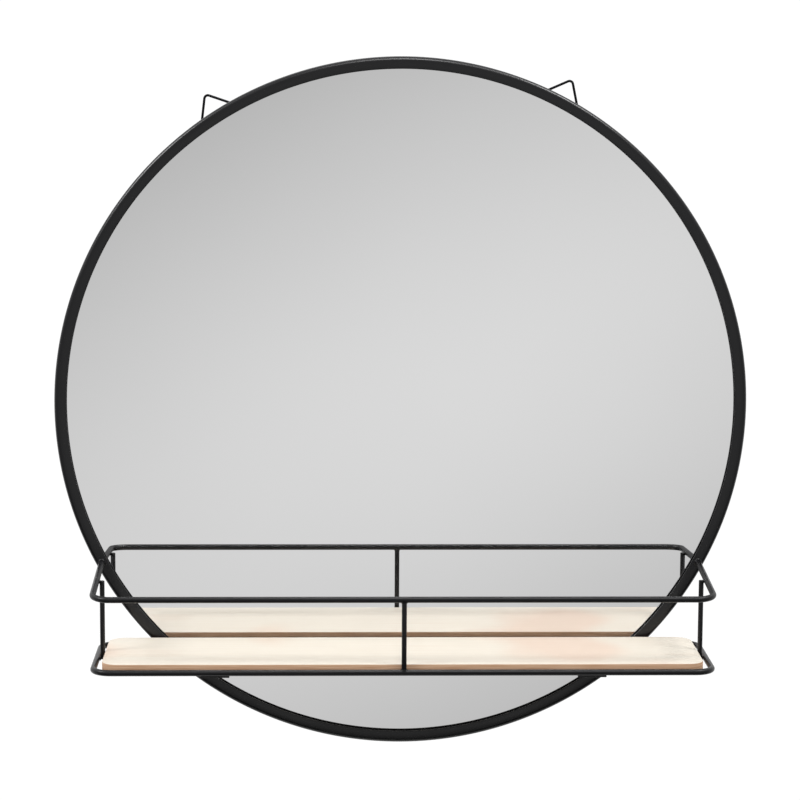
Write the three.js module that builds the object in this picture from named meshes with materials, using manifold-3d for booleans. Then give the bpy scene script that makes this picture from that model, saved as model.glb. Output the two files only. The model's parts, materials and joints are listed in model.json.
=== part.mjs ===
// Round wall mirror in a black steel frame, with a wire basket shelf across its lower part.
// Millimetres, +Z up. The wall is the plane y = 0, the front looks along -Y, and the origin is on the
// wall plane straight behind the mirror's centre.

import * as THREE from "three";
import { mergeVertices } from "three/addons/utils/BufferGeometryUtils.js";
import Module from "manifold-3d";

const wasm = await Module();
wasm.setup();

// ---------------------------------------------------------------- driving dimensions

const SEAT_GAP = 0.3; // clearance between a piece and what it sits on

// Frame: an L-section hoop, with its lip at the front and its wall outside.
const FRAME_DIAMETER = 600;
const FRAME_WALL = 1.5; // wall of the hoop, and of its lip
const FRAME_FACE = 10.5; // width of the lip, seen from the front
const FRAME_OUTER_CORNER = 2; // rounding between lip and wall
const LIP_EDGE_BREAK = 0.4; // eased inner edge of the lip

// What the frame holds.
const GLASS_THICKNESS = 4;
const GLASS_EDGE_BREAK = 0.5; // ground arris round the glass
const GLASS_CLEARANCE = 0.5; // all round, inside the frame's wall
const PANEL_THICKNESS = 9;
const PANEL_CLEARANCE = 0.6;

// Fixing tabs: tongues on the frame's wall, screwed to the panel.
const TAB_COUNT = 6;
const TAB_WIDTH = 16;
const TAB_LENGTH = 18;
const TAB_THICKNESS = 1;
const TAB_CLEARANCE = 0.4; // to the frame's wall, which bends away behind the straight end

// Basket: two wire runs, one above the other, with three uprights.
const WIRE_DIAMETER = 5;
const UPRIGHT_DIAMETER = 4;
const WIRE_BEND_RADIUS = 15; // at the wire's centre line
const BASKET_REACH = 110; // from the frame's face to the front of the wires
const RAIL_END_RISE = 161.9; // the top rail's ends, above the frame's lowest point
const RAIL_FALL = 9.6; // the top rail slopes down by this much from its ends to its front run
const RAIL_SPACING = 62.3; // between the centre lines of the two front runs
const UPRIGHT_OVERRUN = 0.5; // side uprights run past the wires' centre lines
const BUTT_GAP = 1; // between the two ends of the bottom ring's wire, filled by the weld
const WELD_LENGTH = 6;
const WELD_SWELL = 0.2; // how far the weld stands out from the wire

// Shelf board and the straps under it.
const BOARD_THICKNESS = 9;
const BOARD_CLEARANCE = 0.5; // to the front and rear runs
const BOARD_CORNER = 14;
const BOARD_EDGE_EASE = 0.5;
const STRAP_WIDTH = 24;
const STRAP_THICKNESS = 1.5;
const STRAP_SPACING = 316; // between the middles of the two straps
const BOARD_SCREW_SETBACK = 22; // from the wires' centre lines to the screws

// Hangers: a triangular ring that swings in the rolled eye of a strap on the panel.
const HANGERS = [
  { side: "left", angle: -32.4 }, // degrees from the top of the mirror, towards the right
  { side: "right", angle: 27.4 },
];
const HANGER_INSET = 6.7; // pivot line of a ring, inside the frame's outer edge
const HANGER_WIRE = 2;
const HANGER_RING_WIDTH = 37; // between the corners of the wire's centre line
const HANGER_RING_APEX = 78; // degrees
const HANGER_RING_BEND = 2.6;
const HANGER_RING_BUTT = 0.6; // open joint in the bar, hidden in the eye
const HANGER_STRAP_WIDTH = 12;
const HANGER_STRAP_THICKNESS = 1;
const HANGER_STRAP_LENGTH = 16;
const HANGER_EYE_SWEEP = 290; // degrees that the strap curls round the wire
const HANGER_SCREW_SETBACK = 9; // from the pivot line to the screw
const RUNNING_CLEARANCE = 0.3; // wire in the eye, and ring over the frame's edge

// Bumpers between panel and wall.
const BUMPER_HEIGHT = 5;
const BUMPER_DIAMETER = 14;
const BUMPER_EDGE_ROUND = 1.2;
const BUMPER_ANGLE = 150; // degrees from the top of the mirror, to each side
const BUMPER_INSET = 30; // middle of a bumper, inside the frame's outer edge

// Pan head wood screws.
const SCREW_SHANK = 3;
const SCREW_HOLE_CLEARANCE = 0.3; // all round the shank
const SCREW_HEAD = 6.5;
const SCREW_HEAD_HEIGHT = 1.8;
const SCREW_HEAD_ROUND = 1.1;
const SCREW_BITE = 6; // depth that the shank goes into the wood
const SCREW_POINT = 1.5; // length of the pointed end
const HOLE_EXTRA_DEPTH = 0.6; // pilot hole past the screw's point

// Smoothness.
const HOOP_SEGMENTS = 96; // round the frame, glass and panel
const BASKET_WIRE_SIDES = 16;
const HANGER_WIRE_SIDES = 10;
const BEND_STEPS = 8; // along a bend of a wire
const CORNER_STEPS = 6; // along a round corner of a plate
const EDGE_STEPS = 2; // along a small rounding of an edge
const BUMPER_SEGMENTS = 20;
const SCREW_SEGMENTS = 12;

// ---------------------------------------------------------------- places worked out from them

const frameRadius = FRAME_DIAMETER / 2;
const wallInside = frameRadius - FRAME_WALL; // inner face of the frame's wall

const panelRearY = -(BUMPER_HEIGHT + SEAT_GAP);
const panelFrontY = panelRearY - PANEL_THICKNESS;
const glassRearY = panelFrontY - SEAT_GAP;
const glassFrontY = glassRearY - GLASS_THICKNESS;
const faceY = glassFrontY - SEAT_GAP - FRAME_WALL; // front face of the lip
// The wall of the frame ends level with the hanger straps, so that a ring passes over its edge.
const frameRearY = panelRearY + SEAT_GAP + HANGER_STRAP_THICKNESS;

const wireRadius = WIRE_DIAMETER / 2;
const frontY = faceY - BASKET_REACH + wireRadius; // centre line of the front runs
const rearY = faceY - SEAT_GAP - wireRadius; // centre line of the ring's rear run
const railEndZ = RAIL_END_RISE - frameRadius;
const railFrontZ = railEndZ - RAIL_FALL;
const ringZ = railFrontZ - RAIL_SPACING;
// A rail's end is cut square to the sloping wire, so its middle stands off a little more than its edge.
const railEndY = faceY - SEAT_GAP - wireRadius * (RAIL_FALL / BASKET_REACH);
// The rail's ends stand on the middle of the frame's lip.
const railHalfWidth = Math.sqrt((frameRadius - FRAME_FACE / 2) ** 2 - railEndZ ** 2);

const strapTopZ = ringZ - wireRadius - SEAT_GAP;
const boardBottomZ = strapTopZ + SEAT_GAP;

const sideUprightX = railHalfWidth - wireRadius - SEAT_GAP - UPRIGHT_DIAMETER / 2;
const boardHalfWidth = sideUprightX - UPRIGHT_DIAMETER / 2 - SEAT_GAP;
const boardFrontY = frontY + wireRadius + BOARD_CLEARANCE;
const boardRearY = rearY - wireRadius - BOARD_CLEARANCE;

const pivotRadius = frameRadius - HANGER_INSET; // from the mirror's centre to a ring's pivot line
const eyeInner = HANGER_WIRE / 2 + RUNNING_CLEARANCE;
const eyeOuter = eyeInner + HANGER_STRAP_THICKNESS;
const eyeY = panelRearY + SEAT_GAP + eyeOuter; // pivot line, behind the panel

// ---------------------------------------------------------------- finishes

const finish = (color, roughness, metalness) => ({ color, roughness, metalness });
const FINISHES = {
  powderCoat: finish(0x2b2b2e, 0.45, 0.0),
  silvering: finish(0xd4d6d6, 0.03, 1.0),
  hardboard: finish(0x6b4f38, 0.9, 0.0),
  veneer: finish(0xf3e6d2, 0.6, 0.0),
  blackWire: finish(0x2e2e30, 0.4, 0.6),
  zinc: finish(0xa9acb0, 0.35, 1.0),
  rubber: finish(0x1f1f20, 0.85, 0.0),
};

// ---------------------------------------------------------------- shared geometry

/** A closed geometry with its shared corners merged, as a solid that can be joined and cut. */
function toSolid(geometry) {
  const bare = geometry.clone();
  bare.deleteAttribute("normal");
  bare.deleteAttribute("uv");
  const merged = mergeVertices(bare, 1e-4);
  return new wasm.Manifold(
    new wasm.Mesh({
      numProp: 3,
      vertProperties: merged.attributes.position.array,
      triVerts: new Uint32Array(merged.index.array),
    }),
  );
}

/** The geometry of a joined or cut solid. */
function fromSolid(solid) {
  const mesh = solid.getMesh();
  const geometry = new THREE.BufferGeometry();
  geometry.setAttribute("position", new THREE.BufferAttribute(mesh.vertProperties, mesh.numProp));
  geometry.setIndex(new THREE.BufferAttribute(mesh.triVerts, 1));
  return geometry;
}

/** A body cut by each of the tools in turn. */
function cut(body, tools) {
  return fromSolid(tools.reduce((left, tool) => left.subtract(toSolid(tool)), toSolid(body)));
}

/** A named mesh in one of the finishes. */
function piece(name, geometry, finishName) {
  const mesh = new THREE.Mesh(geometry, new THREE.MeshStandardMaterial(FINISHES[finishName]));
  mesh.name = name;
  return mesh;
}

/** A round bar along Y between two depths. */
function barAlongY(radius, fromY, toY, x, z, sides) {
  return new THREE.CylinderGeometry(radius, radius, toY - fromY, sides)
    .translate(x, (fromY + toY) / 2, z);
}

/** A round bar along Z between two heights. */
function barAlongZ(radius, fromZ, toZ, x, y, sides) {
  return new THREE.CylinderGeometry(radius, radius, toZ - fromZ, sides)
    .rotateX(Math.PI / 2)
    .translate(x, y, (fromZ + toZ) / 2);
}

/** A flat plate that lies square to Z, cut to an outline, with its underside at z = 0. */
function plate(outline, thickness) {
  return new THREE.ExtrudeGeometry(outline, {
    depth: thickness,
    bevelEnabled: false,
    curveSegments: CORNER_STEPS,
  });
}

/** A bent wire's centre line: straight runs that meet in round bends, with points only where it turns. */
class WireRoute extends THREE.Curve {
  constructor(corners, bendRadius) {
    super();
    this.stations = corners.flatMap((corner, i) => {
      const arrive = i > 0 ? corner.clone().sub(corners[i - 1]).normalize() : null;
      const leave = i < corners.length - 1 ? corners[i + 1].clone().sub(corner).normalize() : null;
      if (arrive && leave) {
        return WireRoute.bend(corner, arrive, leave, bendRadius);
      }
      return [{ point: corner, tangent: arrive ?? leave }];
    });
  }

  static bend(corner, arrive, leave, radius) {
    const turn = arrive.angleTo(leave);
    const inward = leave.clone().addScaledVector(arrive, -arrive.dot(leave)).normalize();
    const start = corner.clone().addScaledVector(arrive, -radius * Math.tan(turn / 2));
    const centre = start.clone().addScaledVector(inward, radius);
    return Array.from({ length: BEND_STEPS + 1 }, (_, k) => {
      const angle = (turn * k) / BEND_STEPS;
      return {
        point: centre.clone()
          .addScaledVector(inward, -radius * Math.cos(angle))
          .addScaledVector(arrive, radius * Math.sin(angle)),
        tangent: arrive.clone()
          .multiplyScalar(Math.cos(angle))
          .addScaledVector(inward, Math.sin(angle)),
      };
    });
  }

  get steps() {
    return this.stations.length - 1;
  }

  getPointAt(u) {
    return this.stations[Math.round(u * this.steps)].point.clone();
  }

  getTangentAt(u) {
    return this.stations[Math.round(u * this.steps)].tangent.clone();
  }
}

/** A round wire along a route, with flat ends. */
function bentWire(corners, bendRadius, diameter, sides) {
  const route = new WireRoute(corners, bendRadius);
  const section = new THREE.Shape().absarc(0, 0, diameter / 2, 0, 2 * Math.PI, false);
  return new THREE.ExtrudeGeometry(section, {
    steps: route.steps,
    curveSegments: sides / 2, // a round arc takes two sides for each
    extrudePath: route,
  });
}

/** A pan head screw along Y, its head's underside at y = 0 and its shank towards -Y. */
function screw(grip) {
  const shank = SCREW_SHANK / 2;
  const head = SCREW_HEAD / 2;
  const tipY = -(grip + SCREW_BITE);
  const profile = new THREE.Path()
    .moveTo(0, tipY)
    .lineTo(shank, tipY + SCREW_POINT)
    .lineTo(shank, 0)
    .lineTo(head, 0)
    .lineTo(head, SCREW_HEAD_HEIGHT - SCREW_HEAD_ROUND)
    .quadraticCurveTo(head, SCREW_HEAD_HEIGHT, head - SCREW_HEAD_ROUND, SCREW_HEAD_HEIGHT)
    .lineTo(0, SCREW_HEAD_HEIGHT);
  return new THREE.LatheGeometry(profile.getPoints(EDGE_STEPS), SCREW_SEGMENTS);
}

const holeRadius = SCREW_SHANK / 2 + SCREW_HOLE_CLEARANCE;
const holeDepth = SCREW_BITE + HOLE_EXTRA_DEPTH;

/** A place on the back of the mirror, as x and z, at an angle from its top. */
function onClock(degrees, radius) {
  const angle = THREE.MathUtils.degToRad(degrees);
  return { x: radius * Math.sin(angle), z: radius * Math.cos(angle) };
}

/** A group turned about the mirror's axis, so that its +Z points outwards at an angle from the top. */
function turned(degrees, ...meshes) {
  const group = new THREE.Group();
  group.rotation.y = THREE.MathUtils.degToRad(degrees);
  group.add(...meshes);
  return group;
}

// ---------------------------------------------------------------- frame, glass and panel

/** The hoop: an L-section turned about the mirror's axis. */
function ringFrame() {
  const lipInner = frameRadius - FRAME_FACE;
  const innerCorner = FRAME_OUTER_CORNER - FRAME_WALL;
  const profile = new THREE.Path()
    .moveTo(lipInner, faceY + LIP_EDGE_BREAK)
    .lineTo(lipInner + LIP_EDGE_BREAK, faceY)
    .lineTo(frameRadius - FRAME_OUTER_CORNER, faceY)
    .absarc(frameRadius - FRAME_OUTER_CORNER, faceY + FRAME_OUTER_CORNER, FRAME_OUTER_CORNER,
      -Math.PI / 2, 0, false)
    .lineTo(frameRadius, frameRearY)
    .lineTo(wallInside, frameRearY)
    .lineTo(wallInside, faceY + FRAME_WALL + innerCorner)
    .absarc(wallInside - innerCorner, faceY + FRAME_WALL + innerCorner, innerCorner,
      0, -Math.PI / 2, true)
    .lineTo(lipInner, faceY + FRAME_WALL)
    .closePath();
  const hoop = new THREE.LatheGeometry(profile.getPoints(EDGE_STEPS), HOOP_SEGMENTS);
  return piece("ring_frame", hoop, "powderCoat");
}

/** The silvered glass, with a ground arris on both edges. */
function mirrorGlass() {
  const radius = wallInside - GLASS_CLEARANCE;
  const profile = new THREE.Path()
    .moveTo(0, glassFrontY)
    .lineTo(radius - GLASS_EDGE_BREAK, glassFrontY)
    .lineTo(radius, glassFrontY + GLASS_EDGE_BREAK)
    .lineTo(radius, glassRearY - GLASS_EDGE_BREAK)
    .lineTo(radius - GLASS_EDGE_BREAK, glassRearY)
    .lineTo(0, glassRearY);
  return piece("mirror_glass", new THREE.LatheGeometry(profile.getPoints(), HOOP_SEGMENTS), "silvering");
}

/** The panel behind the glass, with a pilot hole for each screw. */
function backPanel() {
  const radius = wallInside - PANEL_CLEARANCE;
  const profile = new THREE.Path()
    .moveTo(0, panelFrontY)
    .lineTo(radius, panelFrontY)
    .lineTo(radius, panelRearY)
    .lineTo(0, panelRearY);
  const disc = new THREE.LatheGeometry(profile.getPoints(), HOOP_SEGMENTS);
  const places = [
    ...tabAngles.map((angle) => onClock(angle, tabScrewRadius)),
    ...HANGERS.map(({ angle }) => onClock(angle, pivotRadius - HANGER_SCREW_SETBACK)),
  ];
  const bottom = panelRearY - holeDepth;
  const mouth = panelRearY + HOLE_EXTRA_DEPTH;
  const holes = places.map(({ x, z }) => barAlongY(holeRadius, bottom, mouth, x, z, SCREW_SEGMENTS));
  return piece("back_panel", cut(disc, holes), "hardboard");
}

// ---------------------------------------------------------------- fixing tabs

const tabAngles = Array.from({ length: TAB_COUNT }, (_, i) => (i * 360) / TAB_COUNT);
const tabOuterZ = wallInside - TAB_CLEARANCE;
const tabScrewRadius = tabOuterZ - TAB_LENGTH + TAB_WIDTH / 2;
const tabRearY = panelRearY + SEAT_GAP + TAB_THICKNESS;

/** A tongue that lies on the panel, its square end at the frame's wall, and its screw. */
function fixingTab(angle, number) {
  const half = TAB_WIDTH / 2;
  const outline = new THREE.Shape()
    .moveTo(half, tabOuterZ)
    .lineTo(-half, tabOuterZ)
    .lineTo(-half, tabScrewRadius)
    .absarc(0, tabScrewRadius, half, Math.PI, 2 * Math.PI, false)
    .closePath();
  outline.holes.push(new THREE.Path().absarc(0, tabScrewRadius, holeRadius, 0, 2 * Math.PI, true));
  const tongue = plate(outline, TAB_THICKNESS).rotateX(Math.PI / 2).translate(0, tabRearY, 0);
  const bolt = screw(TAB_THICKNESS + 2 * SEAT_GAP)
    .translate(0, tabRearY + SEAT_GAP, tabScrewRadius);
  return turned(
    angle,
    piece(`fixing_tab_${number}`, tongue, "powderCoat"),
    piece(`fixing_tab_screw_${number}`, bolt, "zinc"),
  );
}

// ---------------------------------------------------------------- basket

/** Height of the top rail's centre line along its side runs, at a depth. */
function railHeight(y) {
  return THREE.MathUtils.mapLinear(y, railEndY, frontY, railEndZ, railFrontZ);
}

/** The top rail: a U of wire that slopes down from its two ends on the frame's face. */
function topRail() {
  const corners = [
    new THREE.Vector3(-railHalfWidth, railEndY, railEndZ),
    new THREE.Vector3(-railHalfWidth, frontY, railFrontZ),
    new THREE.Vector3(railHalfWidth, frontY, railFrontZ),
    new THREE.Vector3(railHalfWidth, railEndY, railEndZ),
  ];
  const rail = bentWire(corners, WIRE_BEND_RADIUS, WIRE_DIAMETER, BASKET_WIRE_SIDES);
  return piece("top_rail", rail, "powderCoat");
}

/** The bottom ring: a level loop of wire, welded where its ends meet at the middle of the rear run. */
function bottomRing() {
  const corners = [
    new THREE.Vector3(BUTT_GAP / 2, rearY, ringZ),
    new THREE.Vector3(railHalfWidth, rearY, ringZ),
    new THREE.Vector3(railHalfWidth, frontY, ringZ),
    new THREE.Vector3(-railHalfWidth, frontY, ringZ),
    new THREE.Vector3(-railHalfWidth, rearY, ringZ),
    new THREE.Vector3(-BUTT_GAP / 2, rearY, ringZ),
  ];
  const loop = bentWire(corners, WIRE_BEND_RADIUS, WIRE_DIAMETER, BASKET_WIRE_SIDES);
  const rim = wireRadius - WELD_SWELL;
  const rise = 2 * WELD_SWELL; // from a little inside the wire to a little outside it
  const crown = rim + 2 * rise; // a quadratic curve rises halfway to its control point
  const bead = new THREE.Path()
    .moveTo(0, -WELD_LENGTH / 2)
    .lineTo(rim, -WELD_LENGTH / 2)
    .quadraticCurveTo(crown, 0, rim, WELD_LENGTH / 2)
    .lineTo(0, WELD_LENGTH / 2);
  const weld = new THREE.LatheGeometry(bead.getPoints(CORNER_STEPS), BASKET_WIRE_SIDES)
    .rotateZ(Math.PI / 2)
    .translate(0, rearY, ringZ);
  return piece("bottom_ring", fromSolid(toSolid(loop).add(toSolid(weld))), "powderCoat");
}

/** The upright at the middle of the front, between the two wires. */
function centreUpright() {
  const foot = ringZ + wireRadius + SEAT_GAP;
  const head = railFrontZ - wireRadius - SEAT_GAP;
  const bar = barAlongZ(UPRIGHT_DIAMETER / 2, foot, head, 0, frontY, BASKET_WIRE_SIDES);
  return piece("upright_centre", bar, "powderCoat");
}

/** An upright on the inner side of the side runs, halfway out from the wall. */
function sideUpright(name, x) {
  const middleY = (frontY + rearY) / 2;
  const foot = ringZ - UPRIGHT_OVERRUN;
  const head = railHeight(middleY) + UPRIGHT_OVERRUN;
  const bar = barAlongZ(UPRIGHT_DIAMETER / 2, foot, head, x, middleY, BASKET_WIRE_SIDES);
  return piece(name, bar, "powderCoat");
}

// ---------------------------------------------------------------- shelf board and its straps

const boardScrewYs = { front: frontY + BOARD_SCREW_SETBACK, rear: rearY - BOARD_SCREW_SETBACK };

/** A flat bar under the ring, from its front run to its rear run, with two screw holes. */
function crossStrap(name, x) {
  const outline = new THREE.Shape()
    .moveTo(x - STRAP_WIDTH / 2, frontY)
    .lineTo(x + STRAP_WIDTH / 2, frontY)
    .lineTo(x + STRAP_WIDTH / 2, rearY)
    .lineTo(x - STRAP_WIDTH / 2, rearY)
    .closePath();
  for (const y of Object.values(boardScrewYs)) {
    outline.holes.push(new THREE.Path().absarc(x, y, holeRadius, 0, 2 * Math.PI, true));
  }
  const bar = plate(outline, STRAP_THICKNESS).translate(0, 0, strapTopZ - STRAP_THICKNESS);
  return piece(name, bar, "powderCoat");
}

/** A screw that comes up through a strap into the board. */
function boardScrew(name, x, y) {
  const bolt = screw(STRAP_THICKNESS + 2 * SEAT_GAP)
    .rotateX(-Math.PI / 2)
    .translate(x, y, strapTopZ - STRAP_THICKNESS - SEAT_GAP);
  return piece(name, bolt, "zinc");
}

/** The board: a slab with round corners and eased edges, drilled from below. */
function shelfBoard() {
  const right = boardHalfWidth - BOARD_CORNER;
  const rear = boardRearY - BOARD_CORNER;
  const front = boardFrontY + BOARD_CORNER;
  const outline = new THREE.Shape()
    .absarc(right, rear, BOARD_CORNER, 0, Math.PI / 2, false)
    .absarc(-right, rear, BOARD_CORNER, Math.PI / 2, Math.PI, false)
    .absarc(-right, front, BOARD_CORNER, Math.PI, 1.5 * Math.PI, false)
    .absarc(right, front, BOARD_CORNER, 1.5 * Math.PI, 2 * Math.PI, false)
    .closePath();
  const slab = new THREE.ExtrudeGeometry(outline, {
    depth: BOARD_THICKNESS - 2 * BOARD_EDGE_EASE,
    bevelThickness: BOARD_EDGE_EASE,
    bevelSize: BOARD_EDGE_EASE,
    bevelOffset: -BOARD_EDGE_EASE,
    bevelSegments: EDGE_STEPS,
    curveSegments: CORNER_STEPS,
  }).translate(0, 0, boardBottomZ + BOARD_EDGE_EASE);
  const mouth = boardBottomZ - HOLE_EXTRA_DEPTH;
  const top = boardBottomZ + holeDepth;
  const holes = strapXs.flatMap((x) =>
    Object.values(boardScrewYs).map((y) => barAlongZ(holeRadius, mouth, top, x, y, SCREW_SEGMENTS)));
  return piece("shelf_board", cut(slab, holes), "veneer");
}

// ---------------------------------------------------------------- hangers

/** The strap: a round-ended plate on the panel that curls round the ring's bar in a rolled eye. */
function hangerStrap(name) {
  const end = -HANGER_STRAP_LENGTH;
  const from = -Math.PI / 2;
  const to = from + THREE.MathUtils.degToRad(HANGER_EYE_SWEEP);
  const side = new THREE.Shape()
    .moveTo(end, -eyeOuter)
    .lineTo(0, -eyeOuter)
    .absarc(0, 0, eyeOuter, from, to, false)
    .absarc(0, 0, eyeInner, to, from, true)
    .lineTo(end, -eyeInner)
    .closePath();
  const half = HANGER_STRAP_WIDTH / 2;
  const rolled = plate(side, HANGER_STRAP_WIDTH).translate(0, 0, -half).rotateY(-Math.PI / 2);
  const past = 2 * eyeOuter; // clear of the eye on every side
  const outline = new THREE.Shape()
    .moveTo(half, past)
    .lineTo(-half, past)
    .lineTo(-half, end + half)
    .absarc(0, end + half, half, Math.PI, 2 * Math.PI, false)
    .closePath();
  outline.holes.push(new THREE.Path().absarc(0, -HANGER_SCREW_SETBACK, holeRadius, 0, 2 * Math.PI, true));
  const plan = plate(outline, 2 * past).rotateX(Math.PI / 2).translate(0, past, 0);
  const strap = fromSolid(toSolid(rolled).intersect(toSolid(plan)));
  return piece(name, strap.translate(0, eyeY, pivotRadius), "zinc");
}

/** The ring: a triangle of wire whose bar turns in the eye, standing outwards past the frame. */
function hangerRing(name) {
  const half = HANGER_RING_WIDTH / 2;
  const height = half / Math.tan(THREE.MathUtils.degToRad(HANGER_RING_APEX / 2));
  const corners = [
    new THREE.Vector3(HANGER_RING_BUTT / 2, eyeY, pivotRadius),
    new THREE.Vector3(half, eyeY, pivotRadius),
    new THREE.Vector3(0, eyeY, pivotRadius + height),
    new THREE.Vector3(-half, eyeY, pivotRadius),
    new THREE.Vector3(-HANGER_RING_BUTT / 2, eyeY, pivotRadius),
  ];
  const ring = bentWire(corners, HANGER_RING_BEND, HANGER_WIRE, HANGER_WIRE_SIDES);
  return piece(name, ring, "blackWire");
}

/** A hanger: its strap, ring and screw, in a group turned to its place. */
function hanger({ side, angle }) {
  const strapRearY = eyeY - eyeInner;
  const bolt = screw(HANGER_STRAP_THICKNESS + 2 * SEAT_GAP)
    .translate(0, strapRearY + SEAT_GAP, pivotRadius - HANGER_SCREW_SETBACK);
  return turned(
    angle,
    hangerStrap(`hanger_strap_${side}`),
    hangerRing(`hanger_ring_${side}`),
    piece(`hanger_screw_${side}`, bolt, "zinc"),
  );
}

// ---------------------------------------------------------------- bumpers

/** A round pad between the panel and the wall. */
function bumper(name, angle) {
  const radius = BUMPER_DIAMETER / 2;
  const profile = new THREE.Path()
    .moveTo(0, -BUMPER_HEIGHT)
    .lineTo(radius, -BUMPER_HEIGHT)
    .lineTo(radius, -BUMPER_EDGE_ROUND)
    .quadraticCurveTo(radius, 0, radius - BUMPER_EDGE_ROUND, 0)
    .lineTo(0, 0);
  const { x, z } = onClock(angle, frameRadius - BUMPER_INSET);
  const pad = new THREE.LatheGeometry(profile.getPoints(EDGE_STEPS), BUMPER_SEGMENTS);
  return piece(name, pad.translate(x, 0, z), "rubber");
}

// ---------------------------------------------------------------- the assembly

const strapXs = [-STRAP_SPACING / 2, STRAP_SPACING / 2];
const SIDES = ["left", "right"];

const mirrorWithShelf = new THREE.Group();
mirrorWithShelf.add(
  ringFrame(),
  mirrorGlass(),
  backPanel(),
  ...tabAngles.map((angle, i) => fixingTab(angle, i + 1)),
  topRail(),
  bottomRing(),
  centreUpright(),
  sideUpright("upright_left", -sideUprightX),
  sideUpright("upright_right", sideUprightX),
  shelfBoard(),
  ...HANGERS.map(hanger),
  bumper("bumper_left", -BUMPER_ANGLE),
  bumper("bumper_right", BUMPER_ANGLE),
);
strapXs.forEach((x, i) => {
  mirrorWithShelf.add(crossStrap(`cross_strap_${SIDES[i]}`, x));
  for (const [row, y] of Object.entries(boardScrewYs)) {
    mirrorWithShelf.add(boardScrew(`board_screw_${SIDES[i]}_${row}`, x, y));
  }
});

export default mirrorWithShelf;
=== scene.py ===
"""Round wall mirror with a wire basket shelf: its fine surfaces, its finishes and the studio.

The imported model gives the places, and each class here gives one sub-assembly its fine mesh
and its finish. Lengths are in metres, +Z is up, the mirror faces -Y and hangs on the plane y = 0.
"""

import json
import logging
import math
from collections.abc import Callable, Sequence
from dataclasses import dataclass
from enum import Enum, StrEnum
from functools import partial

import bmesh
import bpy
from mathutils import Matrix, Vector, noise


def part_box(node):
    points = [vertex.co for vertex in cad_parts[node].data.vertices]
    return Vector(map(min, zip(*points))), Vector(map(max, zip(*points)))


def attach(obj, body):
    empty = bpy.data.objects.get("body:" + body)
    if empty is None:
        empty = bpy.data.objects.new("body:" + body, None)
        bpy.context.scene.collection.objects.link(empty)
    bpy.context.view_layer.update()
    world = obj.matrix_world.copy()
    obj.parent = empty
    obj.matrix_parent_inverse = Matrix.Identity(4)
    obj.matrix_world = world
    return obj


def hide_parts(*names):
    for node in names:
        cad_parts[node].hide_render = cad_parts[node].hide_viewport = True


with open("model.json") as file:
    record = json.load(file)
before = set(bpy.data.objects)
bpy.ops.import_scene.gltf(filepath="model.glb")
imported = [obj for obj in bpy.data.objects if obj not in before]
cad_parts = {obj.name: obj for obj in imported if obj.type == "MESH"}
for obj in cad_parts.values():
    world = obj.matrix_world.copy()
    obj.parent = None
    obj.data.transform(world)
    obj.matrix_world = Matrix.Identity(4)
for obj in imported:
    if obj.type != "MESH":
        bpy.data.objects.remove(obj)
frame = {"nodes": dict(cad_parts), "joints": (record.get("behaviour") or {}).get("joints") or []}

log = logging.getLogger("mirror_with_shelf")

MM = 0.001
FULL_TURN = 2 * math.pi
QUARTER_TURN = math.pi / 2
SHARP_EDGE = math.radians(35)  # faces that meet at more than this show an edge
SAME_POINT = 0.5e-6  # points nearer than this are one
EASE_STEPS = 3  # chords along a small eased edge
NOISE_SPAN = (0.3, 0.7)  # nearly all values of a soft noise lie in it

X_AXIS = Vector((1, 0, 0))
Y_AXIS = Vector((0, 1, 0))
Z_AXIS = Vector((0, 0, 1))
CORNER_SIGNS = ((1, 1), (-1, 1), (-1, -1), (1, -1))

Pair = tuple[float, float]
Triple = tuple[float, float, float]
Colour = tuple[float, float, float, float]
Ring = list[Vector]
Outline = list[tuple[Vector, Vector]]  # points, each with its way out, to be drawn in along
Shape = bmesh.types.BMesh
Tree = bpy.types.NodeTree
Socket = bpy.types.NodeSocket
Inputs = dict[str | int, object]  # for each input, by name or number, a value or an output


class Body(Enum):
    """The rigid bodies of the mirror."""

    MIRROR = "mirror"
    LEFT_HANGER = "left_hanger"
    RIGHT_HANGER = "right_hanger"


class Slot(Enum):
    """The material slots of the record."""

    POWDER_COAT = "powder_coat"
    SILVERED_GLASS = "silvered_glass"
    HARDBOARD = "hardboard"
    VENEER = "veneer"
    BLACK_WIRE = "black_wire"
    ZINC = "zinc"
    RUBBER = "rubber"


class Place(StrEnum):
    """Where one of several like pieces sits, as the nodes' names say it."""

    CENTRE = "centre"
    LEFT = "left"
    RIGHT = "right"


class Fade(Enum):
    """How a tint comes in, from nothing to its full share."""

    EVEN = "LINEAR"
    SOFT = "SMOOTHSTEP"


# ---- colours and nodes


def linear(code: str) -> Colour:
    """Turns an sRGB hex colour into linear light.

    Args:
        code: the colour as "#RRGGBB".

    Returns:
        Linear red, green and blue, and an alpha of 1.
    """
    channels = (int(code[i : i + 2], 16) / 255 for i in (1, 3, 5))
    red, green, blue = (
        c / 12.92 if c <= 0.04045 else ((c + 0.055) / 1.055) ** 2.4 for c in channels
    )
    return red, green, blue, 1.0


def fill_inputs(tree: Tree, node: bpy.types.Node, inputs: Inputs) -> None:
    """Sets or links a node's inputs.

    Args:
        tree: the tree that the node is in.
        node: the node.
        inputs: what its inputs are set to or fed by.
    """
    for key, value in inputs.items():
        if isinstance(value, Socket):
            tree.links.new(value, node.inputs[key])
        else:
            node.inputs[key].default_value = value


def add_node(tree: Tree, kind: str, inputs: Inputs, **settings: object) -> bpy.types.Node:
    """Adds a node with its settings and links.

    Args:
        tree: the tree to add it to.
        kind: Blender's name for the kind of node.
        inputs: what its inputs are set to or fed by.
        **settings: attributes of the node.

    Returns:
        The new node.
    """
    node = tree.nodes.new(kind)
    for name, value in settings.items():
        setattr(node, name, value)
    fill_inputs(tree, node, inputs)
    return node


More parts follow.
